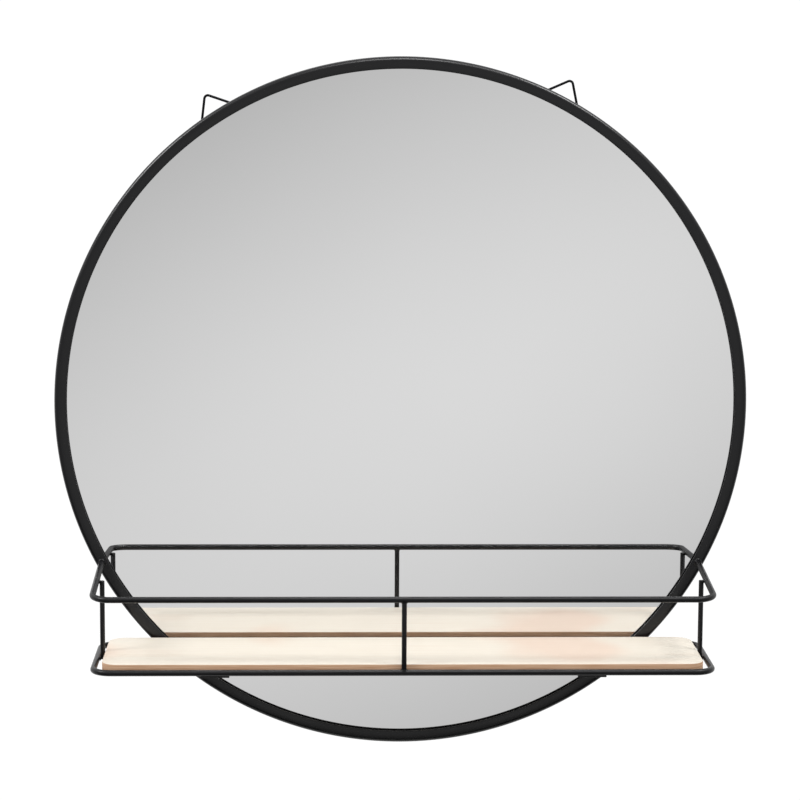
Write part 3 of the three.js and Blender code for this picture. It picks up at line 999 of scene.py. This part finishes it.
@dataclass
class WireBasket:
    """The basket: a top rail that slopes down to the front, a level ring and three uprights."""

    wire: float = 2.5 * MM  # radius of the bare wire
    coat: float = 0.12 * MM  # the powder's film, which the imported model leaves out
    rail_bend: float = 15 * MM
    upright_bead: Triple = (1.3 * MM, 2.7 * MM, 1.9 * MM)  # half its length each way
    frame_bead: Triple = (4.2 * MM, 0.75 * MM, 0.9 * MM)
    frame_bead_rise: float = 0.45  # from the wire's middle, as a share of its radius
    seat_reach: float = 0.97  # share of a run's radius that a fillet may reach out to
    butt_weld_length: float = 6 * MM
    butt_weld_swell: float = 0.2 * MM
    butt_weld_steps: int = 6
    butt_weld_segments: int = 32

    def __post_init__(self) -> None:
        """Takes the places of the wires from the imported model."""
        low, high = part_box("top_rail")
        ring_low, ring_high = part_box("bottom_ring")
        self.coated: float = self.wire + self.coat
        self.half_width: float = high.x - self.wire
        self.front_y: float = low.y + self.wire
        self.front_z: float = low.z + self.wire
        self.rear_y: float = ring_high.y - self.wire
        self.bottom_z: float = (ring_low.z + ring_high.z) / 2
        self.face_y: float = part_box("ring_frame")[0].y
        end = Vector((0, high.y, high.z - self.wire))
        self.slope: Vector = (Vector((0, self.front_y, self.front_z)) - end).normalized()
        # The end is cut square to the slope, so its middle lies a little before its nearest edge.
        self.rail_end: Vector = end + Y_AXIS * self.wire * self.slope.z
        self.welds = Welds()

    def rail_height(self, y: float) -> float:
        """Height of the top rail's centre line along its side runs, at a depth."""
        return self.rail_end.z + self.slope.z / self.slope.y * (y - self.rail_end.y)

    def corners(self, rear: Pair, front: Pair) -> Ring:
        """A wire's corners from rear left to rear right, from their depths and heights."""
        x = self.half_width
        return [Vector(c) for c in ((-x, *rear), (-x, *front), (x, *front), (x, *rear))]

    def upright(self, place: Place) -> tuple[Vector, Vector, float]:
        """Measures an upright.

        Args:
            place: where it stands.

        Returns:
            The middle of its foot and of its head, and its coated radius.
        """
        low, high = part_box(f"upright_{place}")
        x, y, _ = (low + high) / 2
        return Vector((x, y, low.z)), Vector((x, y, high.z)), (high.x - low.x) / 2 + self.coat

    def build(self) -> None:
        """Builds the wires, then their welds."""
        rail = Wire(self.coated, self.rail_bend, normal=tuple(self.slope.cross(X_AXIS)))
        ends = self.rail_end.y, self.rail_end.z
        rail.build("rail_top", self.corners(ends, (self.front_y, self.front_z)), "top_rail")
        ring = Wire(self.coated, self.rail_bend)
        level = self.corners((self.rear_y, self.bottom_z), (self.front_y, self.bottom_z))
        ring.build("ring_bottom", level, "bottom_ring", closed=True)
        for place in Place:
            foot, head, radius = self.upright(place)
            post = Wire(radius, normal=(0, 1, 0))
            post.build(f"post_{place}", [foot, head], f"upright_{place}")
        self.build_welds()

    def on_run(self, run_z: float, side: float, point: Vector) -> Vector:
        """Drops a point beside the centre upright on a front run.

        Args:
            run_z: height of the run's centre line.
            side: 1 for its upper side, -1 for its underside.
            point: the point.

        Returns:
            The point on the run's surface.
        """
        widest = self.seat_reach * self.coated
        out = max(-widest, min(widest, point.y - self.front_y))
        rise = math.sqrt(self.coated**2 - out**2)
        return Vector((point.x, self.front_y + out, run_z + side * rise))

    def on_face(self, point: Vector) -> Vector:
        """Where a point beside a rail's end meets the frame's face, along the rail."""
        return point + self.slope * (self.face_y - point.y) / self.slope.y

    def build_welds(self) -> None:
        """Builds the welds of the wires."""
        joints = bmesh.new()
        for side in (-1, 1):
            end = self.rail_end + X_AXIS * side * self.half_width
            self.welds.fillet_into(joints, end, self.slope, self.coated, self.on_face)
        foot, head, radius = self.upright(Place.CENTRE)
        on_ring = partial(self.on_run, self.bottom_z, 1)
        under_rail = partial(self.on_run, self.front_z, -1)
        self.welds.fillet_into(joints, foot, Z_AXIS, radius, on_ring)
        self.welds.fillet_into(joints, head, -Z_AXIS, radius, under_rail)
        for place in (Place.LEFT, Place.RIGHT):
            foot = self.upright(place)[0]
            between = (foot.x + math.copysign(self.half_width, foot.x)) / 2
            for height in (self.rail_height(foot.y), self.bottom_z):
                centre = Vector((between, foot.y, height))
                self.welds.bead_into(joints, centre, self.upright_bead)
        self.frame_beads_into(joints)
        self.butt_weld_into(joints)
        add_piece(mesh_of("basket_welds", joints), [WIRE_COAT])

    def frame_beads_into(self, shape: Shape) -> None:
        """Builds beads where the ring's rear run crosses the frame's lip.

        Args:
            shape: what the beads are added to.
        """
        lip_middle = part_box("ring_frame")[1].x - RingFrame.lip_width / 2
        crossing = math.sqrt(lip_middle**2 - self.bottom_z**2)
        gap_y = (self.rear_y + self.wire + self.face_y) / 2
        rise = self.wire * self.frame_bead_rise
        for side in (-1, 1):
            for edge in (-1, 1):
                centre = Vector((side * crossing, gap_y, self.bottom_z + edge * rise))
                self.welds.bead_into(shape, centre, self.frame_bead)

    def butt_weld_into(self, shape: Shape) -> None:
        """Builds the weld that closes the ring, at the middle of its rear run.

        Args:
            shape: what the weld is added to.
        """
        half = self.butt_weld_length / 2
        rim = self.coated - self.butt_weld_swell
        steps = self.butt_weld_steps
        swell = [
            (rim + 2 * self.butt_weld_swell * math.cos(QUARTER_TURN * i / steps), half * i / steps)
            for i in range(-steps, steps + 1)
        ]
        place = axis_place(Vector((0, self.rear_y, self.bottom_z)), X_AXIS)
        revolve_into(shape, [(0, -half), *swell, (0, half)], place, self.butt_weld_segments)


# ---- shelf


@dataclass
class Shelf:
    """The veneered board and the two straps that carry it."""

    corner: float = 14 * MM
    corner_steps: int = 20
    ease: float = 0.6 * MM
    veneer_facing: float = 0.6  # a face is veneered where its normal is at least this upright
    strap_ease: float = 0.3 * MM
    strap_bead: Triple = (8.0 * MM, 0.9 * MM, 0.9 * MM)  # half its length each way
    bead_inset: float = 0.75  # from the strap's end, as a share of the wire's radius
    bead_rise: float = 0.3  # over the strap, as a share of the wire's radius

    def board_outline(self, low: Vector, high: Vector) -> Outline:
        """The board's outline, with its round corners.

        Args:
            low: the board's lowest corner.
            high: its highest corner.

        Returns:
            The outline.
        """
        middle, half = (low + high) / 2, (high - low) / 2
        outline: Outline = []
        for number, (x, y) in enumerate(CORNER_SIGNS):
            centre = (middle.x + x * (half.x - self.corner), middle.y + y * (half.y - self.corner))
            sweep = (90 * number, 90 * number + 90, self.corner_steps)
            for point, way in zip(arc(centre, self.corner, *sweep), arc((0, 0), 1, *sweep)):
                outline.append((Vector((*point, low.z)), Vector((*way, 0))))
        return outline

    def build(self) -> None:
        """Builds the board, its straps and their screws."""
        low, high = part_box("shelf_board")
        shape = bmesh.new()
        slab_into(shape, self.board_outline(low, high), Z_AXIS, high.z - low.z, self.ease)
        mesh = mesh_of("board", shape)
        for face in mesh.polygons:
            face.material_index = 0 if abs(face.normal.z) > self.veneer_facing else 1
        add_piece(mesh, [VENEER, BOARD_EDGE], "shelf_board")
        screw = PanScrew()
        for side in (Place.LEFT, Place.RIGHT):
            self.build_strap(side)
            for row in ("front", "rear"):
                screw.build(f"board_screw_{side}_{row}", -Z_AXIS)

    def build_strap(self, side: Place) -> None:
        """Builds a strap, with the welds that hold it under the ring's wires.

        Args:
            side: where it sits.
        """
        low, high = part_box(f"cross_strap_{side}")
        middle, half = (low + high) / 2, (high - low) / 2
        outline = [
            (Vector((middle.x + x * half.x, middle.y + y * half.y, low.z)), Vector((x, y, 0)))
            for x, y in CORNER_SIGNS
        ]
        shape = bmesh.new()
        slab_into(shape, outline, Z_AXIS, high.z - low.z, self.strap_ease)
        add_piece(mesh_of(f"strap_{side}", shape), [POWDER_COAT], f"cross_strap_{side}")
        ring_low, ring_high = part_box("bottom_ring")
        wire = (ring_high.z - ring_low.z) / 2
        beads = bmesh.new()
        welds = Welds()
        for edge_y, inward in ((low.y, 1), (high.y, -1)):
            y = edge_y + inward * wire * self.bead_inset
            centre = Vector((middle.x, y, high.z + wire * self.bead_rise))
            welds.bead_into(beads, centre, self.strap_bead)
        add_piece(mesh_of(f"strap_welds_{side}", beads), [POWDER_COAT])


# ---- hangers


@dataclass
class Hanger:
    """A hanger: a strap with a rolled eye on the panel, and the ring that swings in it."""

    side: Place
    body: Body
    ring_wire: float = 1.1 * MM  # radius
    ring_sides: int = 20
    ring_half_width: float = 18.5 * MM
    ring_apex: float = 78.0  # degrees
    ring_bend: float = 3.0 * MM
    strap_width: float = 12 * MM
    strap_thickness: float = 1.0 * MM
    strap_length: float = 16 * MM
    strap_ease: float = 0.25 * MM
    strap_end_steps: int = 20
    eye_clearance: float = 0.2 * MM
    eye_sweep: float = 290.0  # degrees
    eye_steps: int = 40

    def __post_init__(self) -> None:
        """Takes the hanger's place and direction from its joint."""
        joint = next(j for j in frame["joints"] if j["child"] == self.body.value)
        self.pivot = Vector(joint["pos_m"])
        self.outward = Vector((self.pivot.x, 0, self.pivot.z)).normalized()
        self.along = self.outward.cross(Y_AXIS)

    def build(self) -> None:
        """Builds the ring, the strap and the screw."""
        self.build_ring()
        self.build_strap()
        PanScrew().build(f"hanger_screw_{self.side}", Y_AXIS)

    def build_ring(self) -> None:
        """Bends the ring: a triangle whose bar lies in the eye."""
        half = self.ring_half_width
        height = half / math.tan(math.radians(self.ring_apex / 2))
        corners = [
            self.pivot + self.along * half,
            self.pivot + self.outward * height,
            self.pivot - self.along * half,
        ]
        wire = Wire(
            self.ring_wire, self.ring_bend, (0, 1, 0), BLACK_WIRE, self.body, sides=self.ring_sides
        )
        wire.build(f"wire_loop_{self.side}", corners, f"hanger_ring_{self.side}", closed=True)

    def strap_section(self, place: Vector, away: Vector, half_width: float) -> Ring:
        """The strap's section, square to its length.

        Args:
            place: the middle of the strap's thickness.
            away: the unit vector square to the strap.
            half_width: half the strap's width there.

        Returns:
            The section's points, with its four edges eased.
        """
        ease = self.strap_ease
        flat = max(half_width - ease, 0)
        rise = self.strap_thickness / 2 - ease
        ring: Ring = []
        for number, (sx, sy) in enumerate(CORNER_SIGNS):
            start = 90 * number
            for x, y in arc((sx * flat, sy * rise), ease, start, start + 90, EASE_STEPS):
                ring.append(place + self.along * x + away * y)
        return ring

    def build_strap(self) -> None:
        """Builds the strap: a round end, a straight stretch and the curl round the bar."""
        half = self.strap_width / 2
        reach = self.ring_wire + self.eye_clearance + self.strap_thickness / 2
        rings = []
        for i in range(self.strap_end_steps):
            turn = QUARTER_TURN * i / self.strap_end_steps
            length = -self.strap_length + half * (1 - math.cos(turn))
            place = self.pivot + self.outward * length - Y_AXIS * reach
            half_there = max(half * math.sin(turn), self.strap_ease)
            rings.append(self.strap_section(place, Y_AXIS, half_there))
        for i in range(self.eye_steps + 1):
            turn = math.radians(self.eye_sweep) * i / self.eye_steps
            away = Y_AXIS * math.cos(turn) - self.outward * math.sin(turn)
            rings.append(self.strap_section(self.pivot - away * reach, away, half))
        shape = bmesh.new()
        loft_into(shape, rings)
        name, node = f"eye_strap_{self.side}", f"hanger_strap_{self.side}"
        add_piece(mesh_of(name, shape), [ZINC_PLATE], node)


# ---- studio


@dataclass
class Studio:
    """The floor, the light and the camera.

    Each edge is the measure at which its tint starts, and the one at which it is full.
    """

    floor_depth: float = 1.7  # below the mirror's centre, as it hangs on a wall
    floor_radius: float = 12.0
    floor_sides: int = 128
    floor_colour: str = "#E8E8E6"
    floor_roughness: float = 0.9
    floor_clear: float = 0.4
    floor_gone: float = 1.4
    surround_strength: float = 1.04
    ahead: str = "#A2A2A2"
    glow: str = "#DBDBDB"
    glow_way: Triple = (0.053, 0.0, -0.136)
    glow_reach: Triple = (0.533, 1000.0, 0.221)  # across, none along Y, and upwards
    glow_lean: float = 26.25  # degrees that its right end is higher
    glow_edge: Pair = (1.0, 0.0)
    below: str = "#1C1C1C"
    below_edge: Pair = (-0.27, -0.44)
    overhead: str = "#B4B4B4"
    overhead_way: Triple = (0.35, -0.15, 0.92)
    overhead_edge: Pair = (0.35, 0.85)
    behind: str = "#FFFFFF"
    behind_edge: Pair = (-0.3, 0.5)
    lamp_size: float = 0.8
    lamps: tuple[tuple[str, float, Triple], ...] = (  # name, watts and place
        ("soft_lamp_middle", 23.0, (0.1, -1.5, 2.4)),
        ("soft_lamp_right", 35.0, (1.41, -0.87, 2.26)),
        ("soft_lamp_left", 34.0, (-2.04, -0.87, 1.71)),
    )
    camera_place: Triple = (-0.0679, -2.300, 0.3321)
    camera_pitch: float = 8.16  # degrees downwards
    camera_yaw: float = 1.67  # degrees towards the right
    camera_roll: float = 0.3  # degrees, as the photograph leans a little
    camera_lens: float = 119.82
    camera_sensor: float = 36.0
    camera_sight: float = 100.0

    def build(self) -> None:
        """Builds the studio round the mirror."""
        self.build_world()
        self.build_floor()
        self.build_lamps()
        self.build_camera()

    def build_world(self) -> None:
        """Builds the surround: white behind the mirror, light grey overhead and dark below.

        In front of the mirror it is grey with a soft paler patch, which the glass reflects.
        """
        world = bpy.data.worlds.new("studio_surround")
        world.use_nodes = True
        tree = world.node_tree
        way = add_node(tree, "ShaderNodeTexCoord", {}).outputs["Generated"]
        parts = add_node(tree, "ShaderNodeSeparateXYZ", {0: way})
        in_glow = add_node(
            tree,
            "ShaderNodeMapping",
            {
                "Vector": way,
                "Location": self.glow_way,
                "Rotation": (0, -math.radians(self.glow_lean), 0),
                "Scale": self.glow_reach,
            },
            vector_type="TEXTURE",
        )
        off = add_node(tree, "ShaderNodeVectorMath", {0: in_glow.outputs[0]}, operation="LENGTH")
        ways = {0: way, 1: Vector(self.overhead_way).normalized()}
        key = add_node(tree, "ShaderNodeVectorMath", ways, operation="DOT_PRODUCT")
        colour: Socket | Colour = linear(self.ahead)
        for tint, measure, edge in (
            (self.glow, off.outputs["Value"], self.glow_edge),
            (self.below, parts.outputs["Z"], self.below_edge),
            (self.overhead, key.outputs["Value"], self.overhead_edge),
            (self.behind, parts.outputs["Y"], self.behind_edge),
        ):
            colour = tint_over(tree, colour, tint, measure, edge)
        background = {"Color": colour, "Strength": self.surround_strength}
        fill_inputs(tree, tree.nodes["Background"], background)
        bpy.context.scene.world = world
        bpy.context.scene.view_settings.view_transform = "Standard"

    def build_floor(self) -> None:
        """Builds a pale floor that melts into the surround."""
        shape = bmesh.new()
        sides, radius = self.floor_sides, self.floor_radius
        bmesh.ops.create_circle(shape, cap_ends=True, segments=sides, radius=radius)
        mesh = bpy.data.meshes.new("floor")
        shape.to_mesh(mesh)
        shape.free()
        floor = bpy.data.objects.new("floor", mesh)
        floor.location.z = -self.floor_depth
        bpy.context.scene.collection.objects.link(floor)
        paper = bpy.data.materials.new("pale_matt_floor")
        paper.use_nodes = True
        tree = paper.node_tree
        shader = tree.nodes["Principled BSDF"]
        matt = {"Base Color": linear(self.floor_colour), "Roughness": self.floor_roughness}
        fill_inputs(tree, shader, matt)
        place = add_node(tree, "ShaderNodeTexCoord", {}).outputs["Object"]
        far = add_node(tree, "ShaderNodeVectorMath", {0: place}, operation="LENGTH")
        melt = {"From Min": self.floor_clear, "From Max": self.floor_gone}
        melt["Value"] = far.outputs["Value"]
        soft = Fade.SOFT.value
        gone = add_node(tree, "ShaderNodeMapRange", melt, interpolation_type=soft)
        clear = add_node(tree, "ShaderNodeBsdfTransparent", {})
        blend = {0: gone.outputs[0], 1: shader.outputs[0], 2: clear.outputs[0]}
        mixed = add_node(tree, "ShaderNodeMixShader", blend)
        fill_inputs(tree, tree.nodes["Material Output"], {"Surface": mixed.outputs[0]})
        mesh.materials.append(paper)

    def build_lamps(self) -> None:
        """Builds the soft lamps that draw a light line along the hoop's corner and the wires."""
        for name, power, place in self.lamps:
            lamp = bpy.data.lights.new(name, "AREA")
            lamp.shape = "DISK"
            lamp.size = self.lamp_size
            lamp.energy = power
            holder = bpy.data.objects.new(name, lamp)
            holder.location = place
            holder.rotation_euler = (-Vector(place)).to_track_quat("-Z", "Y").to_euler()
            bpy.context.scene.collection.objects.link(holder)

    def build_camera(self) -> None:
        """Places the camera: a little left of the mirror and above its middle."""
        lens = bpy.data.cameras.new("camera")
        lens.lens = self.camera_lens
        lens.sensor_width = self.camera_sensor
        lens.clip_end = self.camera_sight
        camera = bpy.data.objects.new("camera", lens)
        camera.location = self.camera_place
        aim = (
            Matrix.Rotation(-math.radians(self.camera_yaw), 3, "Z")
            @ Matrix.Rotation(QUARTER_TURN - math.radians(self.camera_pitch), 3, "X")
            @ Matrix.Rotation(math.radians(self.camera_roll), 3, "Z")
        )
        camera.rotation_euler = aim.to_euler()
        bpy.context.scene.collection.objects.link(camera)
        bpy.context.scene.camera = camera


# ---- the assembly


def main() -> None:
    """Builds each sub-assembly in order, then the studio."""
    logging.basicConfig(level=logging.INFO, format="%(message)s")
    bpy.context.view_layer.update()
    RingFrame().build()
    MirrorGlass().build()
    Backing().build()
    WireBasket().build()
    Shelf().build()
    Hanger(Place.LEFT, Body.LEFT_HANGER).build()
    Hanger(Place.RIGHT, Body.RIGHT_HANGER).build()
    Studio().build()


if __name__ == "__main__":
    main()
